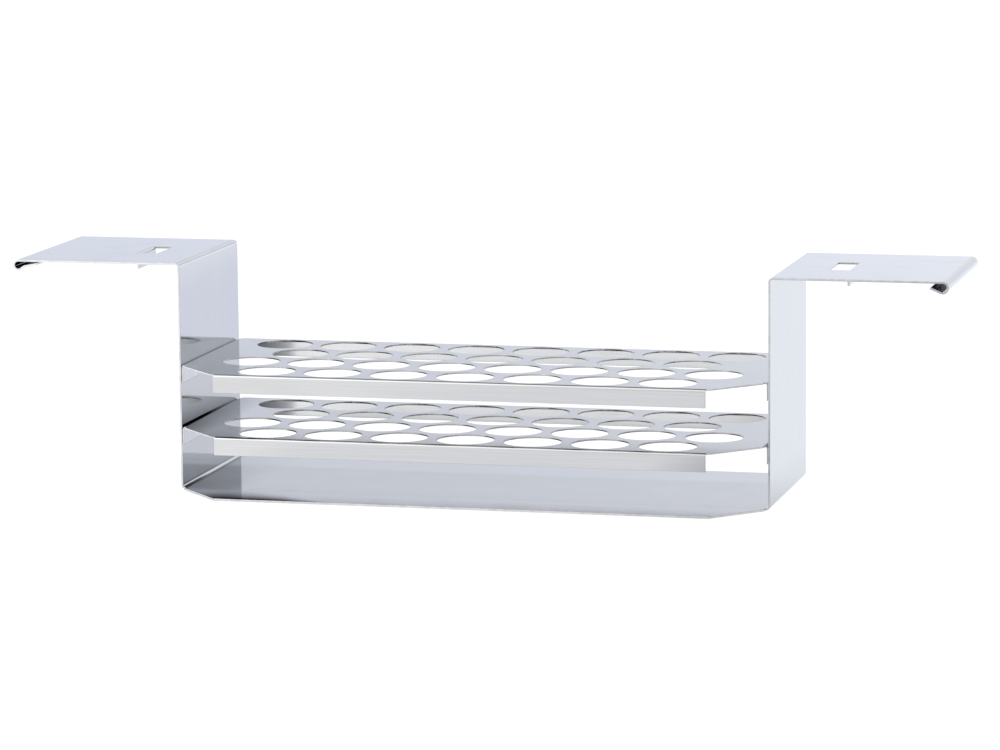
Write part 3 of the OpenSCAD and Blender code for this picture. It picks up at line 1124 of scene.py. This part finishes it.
# How much brighter the light from above is, left of the middle and right of it
TOP_PITCH = (68, 77)
TOP_GAIN = (-0.30, -0.16, 0.15, -0.35)
# Extra light low down on the rear's right side
LOW_RIGHT_GLOW = (0.27, 0.29, 0.28, 1)
LOW_RIGHT_X = (0.22, 0.28)
LOW_RIGHT_Z = (0.178, 0.162)
# The darker part of the room at the right of the rear
DARK_CORNER = (0.08, 0.08, 0.085, 1)
DARK_CORNER_X = (0.28, 0.295, 0.38, 0.45)
DARK_CORNER_Z = (0.16, 0.225, 0.33, 0.42)
# A dark panel high up behind, left of the middle, which the trays' front bends pick up
DARK_PANEL = (0.05, 0.05, 0.055, 1)
DARK_PANEL_X = (-0.38, -0.33, -0.15, -0.10)
DARK_PANEL_PITCH = (16, 21, 48, 60)


def sky_ramp(tree, pitch):
    """The colours of SKY by pitch, divided by SKY_TOP."""
    ramp = add(tree, "ShaderNodeValToRGB", {0: maths(tree, "DIVIDE", pitch, math.pi)})
    ramp.color_ramp.interpolation = "EASE"
    steps = ramp.color_ramp.elements
    while len(steps) < len(SKY):
        steps.new(0.5)
    for step, (degrees, colour) in zip(steps, SKY):
        step.position = degrees / 180
        step.color = tuple(c / SKY_TOP for c in colour) + (1,)
    return ramp.outputs[0]


def build_world():
    world = bpy.data.worlds.new("studio")
    bpy.context.scene.world = world
    world.use_nodes = True
    tree = world.node_tree
    tree.nodes.clear()
    direction = add(tree, "ShaderNodeTexCoord").outputs["Generated"]
    x, y, z = add(tree, "ShaderNodeSeparateXYZ", {0: direction}).outputs
    pitch = maths(tree, "ARCTAN2", maths(tree, "ABSOLUTE", z), y)
    behind = remap(tree, y, *BEHIND_Y)

    top = remap(tree, pitch, *map(math.radians, TOP_PITCH))
    gain = maths(tree, "MULTIPLY_ADD", top, remap(tree, x, *TOP_GAIN), 1.0)
    gain = maths(tree, "MULTIPLY", gain, SKY_TOP)
    sky = add(tree, "ShaderNodeVectorMath", {0: sky_ramp(tree, pitch), 3: gain}, operation="SCALE")
    away = maths(tree, "POWER", maths(tree, "DIVIDE", x, REAR_GLOW_HALF_X), 2.0)
    near_middle = maths(tree, "EXPONENT", maths(tree, "MULTIPLY", away, -1.0))
    low = remap(tree, pitch, *map(math.radians, REAR_GLOW_PITCH), 1.0, 0.0)
    light = blend_colour(tree, product(tree, low, near_middle), sky.outputs[0], REAR_GLOW, "ADD")
    low_right = product(tree, remap(tree, x, *LOW_RIGHT_X), remap(tree, z, *LOW_RIGHT_Z), behind)
    light = blend_colour(tree, low_right, light, LOW_RIGHT_GLOW, "ADD")
    panel = product(
        tree,
        between(tree, x, *DARK_PANEL_X),
        between(tree, pitch, *map(math.radians, DARK_PANEL_PITCH)),
        behind,
    )
    light = blend_colour(tree, panel, light, DARK_PANEL)
    corner = product(
        tree, between(tree, x, *DARK_CORNER_X), between(tree, z, *DARK_CORNER_Z), behind
    )
    light = blend_colour(tree, corner, light, DARK_CORNER)
    light = blend_colour(tree, remap(tree, x, *SIDE_X), light, SIDE_GLOW)
    background = add(tree, "ShaderNodeBackground", {"Color": light, "Strength": 1.0})
    add(tree, "ShaderNodeOutputWorld", {"Surface": background.outputs[0]})


build_floor()
build_world()

scene = bpy.context.scene
scene.view_settings.view_transform = "Standard"
scene.view_settings.look = "None"

# ---------------------------------------------------------------- camera

CAMERA_AZIMUTH = math.radians(14.169)
CAMERA_ELEVATION = math.radians(8.82)
CAMERA_ROLL = math.radians(-0.511)
CAMERA_DISTANCE = 2.1478
CAMERA_LENS = 162.77
SENSOR_W = 36.0
CLIP = (0.05, 60.0)
AIM = (2.903 * MM, WALL_MID_Y, 52.03 * MM)


def build_camera():
    data = bpy.data.cameras.new("camera")
    data.lens = CAMERA_LENS
    data.sensor_width = SENSOR_W
    data.clip_start, data.clip_end = CLIP
    camera = bpy.data.objects.new("camera", data)
    scene.collection.objects.link(camera)
    a, e, r = CAMERA_AZIMUTH, CAMERA_ELEVATION, CAMERA_ROLL
    back = np.array([math.sin(a) * math.cos(e), -math.cos(a) * math.cos(e), math.sin(e)])
    level = np.array([math.cos(a), math.sin(a), 0.0])
    up = np.cross(back, level)
    right = math.cos(r) * level + math.sin(r) * up
    up = math.cos(r) * up - math.sin(r) * level
    eye = np.array(AIM) + CAMERA_DISTANCE * back
    camera.matrix_world = Matrix(
        [[right[i], up[i], back[i], eye[i]] for i in range(3)] + [[0, 0, 0, 1]]
    )
    scene.camera = camera


build_camera()
